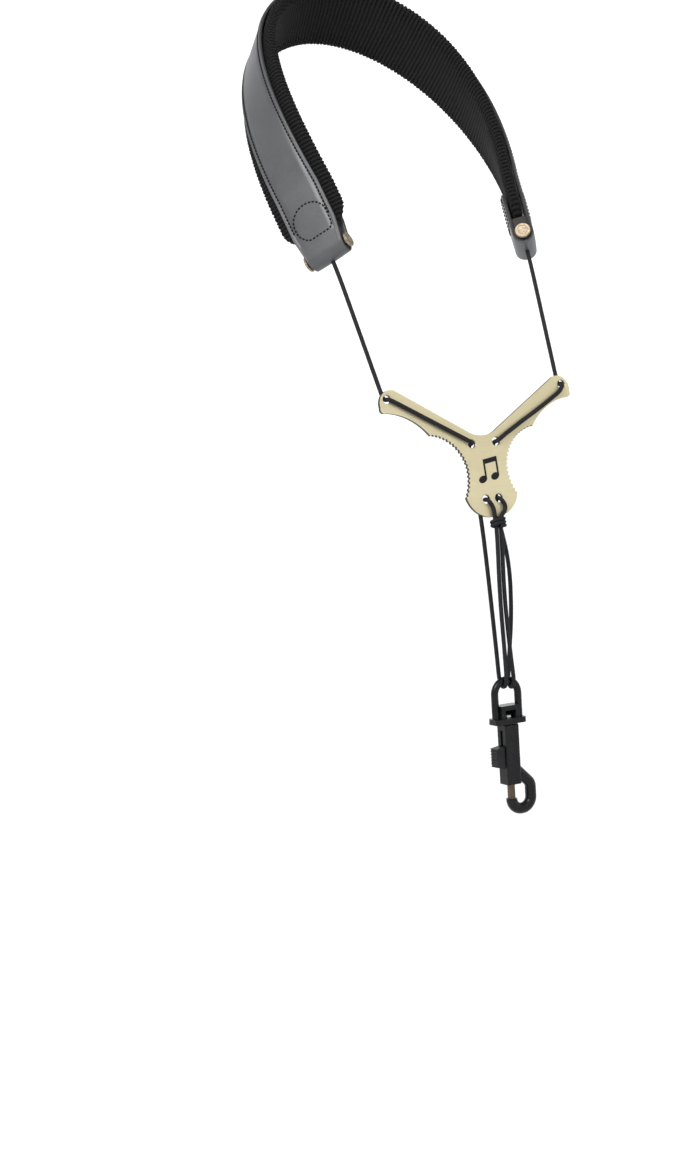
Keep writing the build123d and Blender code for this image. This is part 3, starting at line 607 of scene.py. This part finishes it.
def leather_half():
    """Frames, half widths and stitch-groove depths from the nape to the tongue's end."""
    frames = half_band(LEATHER_MID, BAND_STEP)
    halves = [LEATHER_HALF] * len(frames)
    grooves = [1.0] * len(frames)

    def taper(height):
        share = min(1.0, max(0.0, height / TAPER_HEIGHT))
        return TAB_HALF + (LEATHER_HALF - TAB_HALF) * share

    straight = int((TAB_LENGTH - FOLD_R) / BAND_STEP)
    for i in range(1, straight + 1):
        height = TAB_LENGTH - (TAB_LENGTH - FOLD_R) * i / straight
        frames.append(tab_frame(height, LEATHER_MID))
        halves.append(taper(height))
        grooves.append(1.0 if height > D_FOOT else 0.0)
    for i in range(1, FOLD_TURNS + 1):
        turn = pi * i / FOLD_TURNS
        height = FOLD_R - FOLD_MID_R * sin(turn)
        frames.append(tab_frame(height, FOLD_MID + FOLD_MID_R * cos(turn), turn))
        halves.append(taper(height))
        grooves.append(0.0)
    rise = int((TONGUE_LENGTH - FOLD_R) / BAND_STEP)
    for i in range(1, rise + 1):
        height = FOLD_R + (TONGUE_LENGTH - FOLD_R) * i / rise
        frames.append(tab_frame(height, FOLD_MID - FOLD_MID_R, pi))
        past = max(0.0, (height - D_SIDE_TOP) / (TONGUE_LENGTH + 0.0002 - D_SIDE_TOP))
        halves.append(taper(height) * sqrt(max(0.02, 1 - past**TONGUE_POWER)))
        grooves.append(0.0)
    return frames, halves, grooves


def leather_profile(half, groove):
    """Closed outline across the leather: (across, out) pairs, outer side first."""
    thick = LEATHER_THICK / 2
    top = [(0.0, 0.0), (0.00006, 0.62), (0.0003, 0.90), (0.0007, 1.0), (CREASE - 0.0002, 1.0),
           (CREASE, 0.84), (CREASE + 0.0002, 1.0),
           (STITCH_IN - 0.0007, 1.03), (STITCH_IN - 0.0004, 1.03 - 0.22 * groove),
           (STITCH_IN, 1.03 - 0.34 * groove), (STITCH_IN + 0.0004, 1.03 - 0.22 * groove),
           (STITCH_IN + 0.0007, 1.05)]
    scale = min(1.0, half / TAB_HALF)
    left = [(-half + d * scale, h * thick) for d, h in top]
    inner = half - (STITCH_IN + 0.0007) * scale
    crown = [(inner * k, thick * (1.05 + 0.18 * (1 - k * k))) for k in (-0.75, -0.5, -0.25, 0,
                                                                      0.25, 0.5, 0.75)]
    right = [(-x, y) for x, y in reversed(left[1:])]
    under = [(half, -0.3 * thick), (half - 0.0003 * scale, -0.9 * thick),
             (half - 0.0008 * scale, -thick), (half / 2, -thick), (0, -thick), (-half / 2, -thick),
             (-half + 0.0008 * scale, -thick), (-half + 0.0003 * scale, -0.9 * thick),
             (-half, -0.3 * thick)]
    return left + crown + right + [(half, 0.0)] + under


def add_leather():
    frames, halves, grooves = leather_half()
    frames, halves, grooves = both_halves(frames), mirror_list(halves), mirror_list(grooves)
    points = []
    for (origin, across, out, _), half, groove in zip(frames, halves, grooves):
        outline = leather_profile(half, groove)
        size = len(outline)
        points += [origin + across * x + out * y for x, y in outline]
    made = add_mesh("leather_strip", points, skin((len(frames), size)), LEATHER)
    made.data.materials.append(LEATHER_EDGE)
    far_edge, end_caps = size - UNDER_COUNT, (len(frames) - 1) * size
    edge_columns = {0, size - 1, size - 2, far_edge, far_edge - 1, far_edge - 2}
    for index, polygon in enumerate(made.data.polygons):
        if index >= end_caps or index % size in edge_columns:
            polygon.material_index = 1
    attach(made, "neck_pad")
    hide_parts("leather_band")


# ------------------------------------------------------------------ stitching
STITCH_PITCH, STITCH_LENGTH, THREAD_R = 0.00228, 0.00175, 0.00050
THREAD_SIDES = 8
STITCH_SHAPE = ((0.0, -0.7, 0.55), (0.12, 0.15, 0.9), (0.5, 0.45, 1.0),
                (0.88, 0.15, 0.9), (1.0, -0.7, 0.55))     # share, lift, thickness
SEAM_END = D_SIDE_TOP - 0.004         # where the side seams stop on the tab
SEAM_FLOOR, D_FLOOR = 0.80, 1.05      # the thread's bed, as a share of half the leather
D_ARC_STEPS = 24


def stitch_rings(a, b, out):
    """A short thread between two holes, dipping into the leather at its ends."""
    rings = []
    along = unit(b - a)
    side = np.cross(along, out)
    for share, lift, fat in STITCH_SHAPE:
        centre = a + (b - a) * share + out * THREAD_R * lift
        rings.append([centre + THREAD_R * fat * (cos(q) * side + sin(q) * out)
                      for q in (2 * pi * k / THREAD_SIDES for k in range(THREAD_SIDES))])
    return rings


def stitch_line(path, outs, store):
    """Adds evenly spaced stitches along a line of points with outward normals."""
    run = np.concatenate([[0], np.cumsum(np.linalg.norm(np.diff(path, axis=0), axis=1))])
    count = int(run[-1] / STITCH_PITCH)
    pitch = run[-1] / count

    def at(s):
        spot = np.array([np.interp(s, run, path[:, k]) for k in range(3)])
        out = np.array([np.interp(s, run, outs[:, k]) for k in range(3)])
        return spot, unit(out)

    for i in range(count):
        middle = (i + 0.5) * pitch
        a, out = at(middle - STITCH_LENGTH / 2)
        b, _ = at(middle + STITCH_LENGTH / 2)
        store.append(stitch_rings(a, b, out))


def d_outline():
    """The D seam on a tab: (height, across) points, round end toward the band's middle."""
    points = list(D_CORNERS)
    for k in range(D_ARC_STEPS + 1):
        q = pi * k / D_ARC_STEPS
        shift = (D_LEFT - D_RIGHT) / 2 + (D_LEFT + D_RIGHT) / 2 * cos(q)
        points.append((D_SIDE_TOP + D_ARCH * sin(q), shift))
    return points + [(0.0190, -D_RIGHT), (0.0166, -0.0108), (0.0153, -0.0098), D_CORNERS[0]]


def add_stitching():
    store = []
    frames = half_band(LEATHER_MID, BAND_STEP)
    ride_height = LEATHER_THICK / 2 * SEAM_FLOOR + THREAD_R * 0.1
    straight = [tab_frame(height, LEATHER_MID)
                for height in np.arange(TAB_LENGTH - BAND_STEP, SEAM_END, -BAND_STEP)]
    line = both_halves(frames + straight)
    for side in (-1, 1):
        path = np.array([o + a * side * (LEATHER_HALF - STITCH_IN) + n * ride_height
                         for o, a, n, _ in line])
        stitch_line(path, np.array([f[2] for f in line]), store)
    for face, turn in ((LEATHER_MID, 0.0), (FOLD_MID - FOLD_MID_R, pi)):
        for flip in (lambda f: f, flip_frame):
            path, outs = [], []
            for height, across in d_outline():
                origin, width, out, _ = flip(tab_frame(height, face, turn))
                path.append(origin + width * across + out * (LEATHER_THICK / 2 * D_FLOOR))
                outs.append(out)
            stitch_line(np.array(path), np.array(outs), store)
    points = [p for rings in store for ring in rings for p in ring]
    faces = []
    shape = (len(STITCH_SHAPE), THREAD_SIDES)
    for i in range(len(store)):
        faces += skin(shape, first=i * shape[0] * shape[1])
    made = add_mesh("leather_stitching", points, faces, THREAD)
    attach(made, "neck_pad")


# ------------------------------------------------------------------ knitted lining
RIB_HEIGHT, RIB_SHARPNESS, RIB_LEVEL, RIB_SLANT = 0.0012, 0.55, 0.62, 0.0004
LOOP_PITCH, LOOP_HEIGHT = 0.0027, 0.00028
MESH_ALONG, MESH_ACROSS, MESH_DIP = 0.0032, 0.0034, 0.00022     # the inner face's openwork
KNIT_STEP, KNIT_AROUND = 0.0005, 132
KNIT_FOOT, KNIT_TAPER, KNIT_END_HALF = 0.0170, 0.013, 0.0118
KNIT_SIDE_POWER, KNIT_FACE_POWER = 0.62, 0.50    # flat faces, full round edges
RIBS_FROM, RIBS_FADE = 0.0115, 0.004  # the ribs show outside the leather
KNIT_INSET = 0.00035


def knit_half():
    """Frames and sizes of the lining from the nape to its end on the tab."""
    frames = half_band(0.0, KNIT_STEP)
    halves, thicks = [KNIT_HALF] * len(frames), [1.0] * len(frames)
    reach = TAB_LENGTH - KNIT_FOOT
    count = int(reach / KNIT_STEP)
    for i in range(1, count + 1):
        height = TAB_LENGTH - reach * i / count
        share = min(1.0, (height - KNIT_FOOT) / KNIT_TAPER)
        frames.append(tab_frame(height))
        halves.append(KNIT_END_HALF + (KNIT_HALF - KNIT_END_HALF) * sin(pi / 2 * share) ** 0.8)
        thicks.append(0.86 + 0.14 * min(1.0, share * 3))
    return frames, halves, thicks


def add_knit():
    frames, halves, thicks = knit_half()
    frames, halves, thicks = both_halves(frames), mirror_list(halves), mirror_list(thicks)
    origins = np.array([f[0] for f in frames])
    run = np.concatenate([[0], np.cumsum(np.linalg.norm(np.diff(origins, axis=0), axis=1))])
    run -= run[-1] / 2
    theta = np.linspace(0, 2 * pi, KNIT_AROUND, endpoint=False)
    x = np.sign(np.cos(theta)) * np.abs(np.cos(theta)) ** KNIT_SIDE_POWER
    y = np.sign(np.sin(theta)) * np.abs(np.sin(theta)) ** KNIT_FACE_POWER
    points, uvs = [], []
    girth = np.concatenate([[0], np.cumsum(np.hypot(np.diff(x) * KNIT_HALF,
                                                    np.diff(y) * KNIT_THICK / 2))])
    for (origin, across, out, _), half, thick, s in zip(frames, halves, thicks, run):
        edge = np.clip((np.abs(x) * half - RIBS_FROM) / RIBS_FADE, 0, 1)
        inner = np.clip(-y * 2, 0, 1) * (1 - edge)
        slant = RIB_SLANT * np.abs(x) * half / KNIT_HALF
        wave = np.abs(np.cos(pi * (s + slant) / RIB_PITCH)) ** RIB_SHARPNESS
        rib = RIB_HEIGHT * (wave - RIB_LEVEL) * edge
        cell = np.sin(2 * pi * (s / MESH_ALONG)) * np.sin(2 * pi * x * half / MESH_ACROSS)
        mesh_dip = MESH_DIP * cell * inner
        row = np.floor((s + slant) / RIB_PITCH)
        loop = LOOP_HEIGHT * np.sin(2 * pi * girth / LOOP_PITCH + pi * row) * edge
        swell = rib + loop + mesh_dip - KNIT_INSET
        radial_x = x * (half - 0.0006) + np.cos(theta) * swell
        radial_y = y * (KNIT_THICK / 2 - 0.0004) * thick + np.sin(theta) * swell
        points.append(origin[None, :] + across[None, :] * radial_x[:, None]
                      + out[None, :] * (KNIT_THICK / 2 + radial_y)[:, None])
        uvs += list(zip(s + slant, girth))
    made = add_mesh("knit_lining", np.concatenate(points), skin((len(frames), KNIT_AROUND)),
                    KNIT, uvs=uvs)
    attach(made, "neck_pad")
    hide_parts("knit_cover", "foam_core")


# ------------------------------------------------------------------ plunger spring
SPRING_TOP, SPRING_FOOT = Vector((0, -0.1575, -0.41545)), Vector((0, -0.1575, -0.42835))
SPRING_R, SPRING_WIRE_R, SPRING_TURNS = 0.0023, 0.0003, 6
SPRING_STEPS, SPRING_SIDES = 40, 10   # points to a turn, and round the wire


def add_spring():
    """The coil inside the barrel, between the cap and the plunger's collar."""
    steps = SPRING_STEPS * SPRING_TURNS
    line = []
    for k in range(steps + 1):
        q, at = 2 * pi * SPRING_TURNS * k / steps, SPRING_TOP.lerp(SPRING_FOOT, k / steps)
        line.append((at.x + SPRING_R * cos(q), at.y + SPRING_R * sin(q), at.z))
    line = np.array(line)
    _, across, upward = carried_frames(line)
    points = [line[:, None, :] + SPRING_WIRE_R * (cos(q) * across + sin(q) * upward)[:, None, :]
              for q in (2 * pi * k / SPRING_SIDES for k in range(SPRING_SIDES))]
    made = add_mesh("plunger_coil", np.concatenate(points, axis=1).reshape(-1, 3),
                    skin((len(line), SPRING_SIDES)), STEEL)
    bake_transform(made)
    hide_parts("plunger_spring")


add_leather()
add_stitching()
add_knit()
add_spring()

# ------------------------------------------------------------------ CAD nodes that stay
FINISHES = {
    "end_core_left": LEATHER_EDGE, "end_core_right": LEATHER_EDGE,
    "rivet_post_left": BRASS, "rivet_post_right": BRASS,
    "rivet_cap_left": BRASS, "rivet_cap_right": BRASS,
    "cord_eye_left": CORD, "cord_eye_right": CORD,
    "yoke_plate": PLATE, "plate_inlay": INLAY,
    "swivel_ring": PLASTIC, "hook_body": PLASTIC, "barrel_cap": PLASTIC,
    "thumb_slide": THUMB, "swivel_pin": STEEL, "plunger": BRONZE,
}
for name, finish in FINISHES.items():
    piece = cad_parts[name]
    piece.data.materials.clear()
    piece.data.materials.append(finish)


# ------------------------------------------------------------------ floor, lights, world
FLOOR_LEVEL = CAD_BOX[0][2] - 0.16
COVE_START, COVE_RADIUS, COVE_TOP, COVE_SIDES = 5.0, 2.0, 3.4, 96
FLAT_RINGS, CURVE_RINGS = 6, 24
LIGHT_TARGET = (0, -0.1, -0.2)


def floor_material():
    material, tree, shader = new_material("floor")
    at = object_coordinates(tree)
    tree.links.new(ramp(tree, noise(tree, at, 3.0), (0.3, 0.66), (0.7, 0.69)),
                   shader.inputs["Base Color"])
    shader.inputs["Roughness"].default_value = 0.95
    shader.inputs["Specular IOR Level"].default_value = 0.1
    shader.inputs["Emission Color"].default_value = (0.97, 0.98, 1.0, 1)
    shader.inputs["Emission Strength"].default_value = 0.30
    return material


def add_floor():
    """A round pale floor that curves up into a low wall, so that no horizon shows."""
    profile = [(COVE_START * k / FLAT_RINGS, 0.0) for k in range(1, FLAT_RINGS + 1)]
    profile += [(COVE_START + COVE_RADIUS * sin(q), COVE_RADIUS * (1 - cos(q)))
                for q in (pi / 2 * k / CURVE_RINGS for k in range(1, CURVE_RINGS + 1))]
    profile.append((COVE_START + COVE_RADIUS, COVE_TOP))
    points = [(r * cos(2 * pi * k / COVE_SIDES), r * sin(2 * pi * k / COVE_SIDES),
               FLOOR_LEVEL + h) for r, h in profile for k in range(COVE_SIDES)]
    faces = [tuple(reversed(f)) for f in skin((len(profile), COVE_SIDES), closed_ends=False)]
    faces.append(tuple(range(COVE_SIDES)))
    add_mesh("floor", points, faces, floor_material())


def add_area_light(name, place, target, size, power):
    data = bpy.data.lights.new(name, "AREA")
    data.shape, data.size, data.energy = "DISK", size, power
    lamp = bpy.data.objects.new(name, data)
    lamp.location = place
    lamp.rotation_euler = (Vector(target) - Vector(place)).to_track_quat("-Z", "Y").to_euler()
    bpy.context.scene.collection.objects.link(lamp)


def add_sun(name, azimuth, elevation, angle, strength):
    """A broad, even light; azimuth 0 comes from the wearer's front, positive from their right."""
    data = bpy.data.lights.new(name, "SUN")
    data.angle, data.energy = angle, strength
    lamp = bpy.data.objects.new(name, data)
    toward = Vector((sin(azimuth) * cos(elevation), cos(azimuth) * cos(elevation),
                     -sin(elevation)))
    lamp.rotation_euler = toward.to_track_quat("-Z", "Y").to_euler()
    bpy.context.scene.collection.objects.link(lamp)


add_floor()
add_sun("key", radians(62), radians(42), radians(30), 2.1)
add_sun("fill", radians(-10), radians(30), radians(60), 0.7)
add_area_light("sheen", (-1.3, -0.9, 0.9), LIGHT_TARGET, 0.7, 5)

world = bpy.data.worlds.new("studio")
world.use_nodes = True
world.node_tree.nodes["Background"].inputs["Color"].default_value = (0.95, 0.96, 0.98, 1)
world.node_tree.nodes["Background"].inputs["Strength"].default_value = 0.55
bpy.context.scene.world = world
bpy.context.scene.view_settings.view_transform = "Standard"
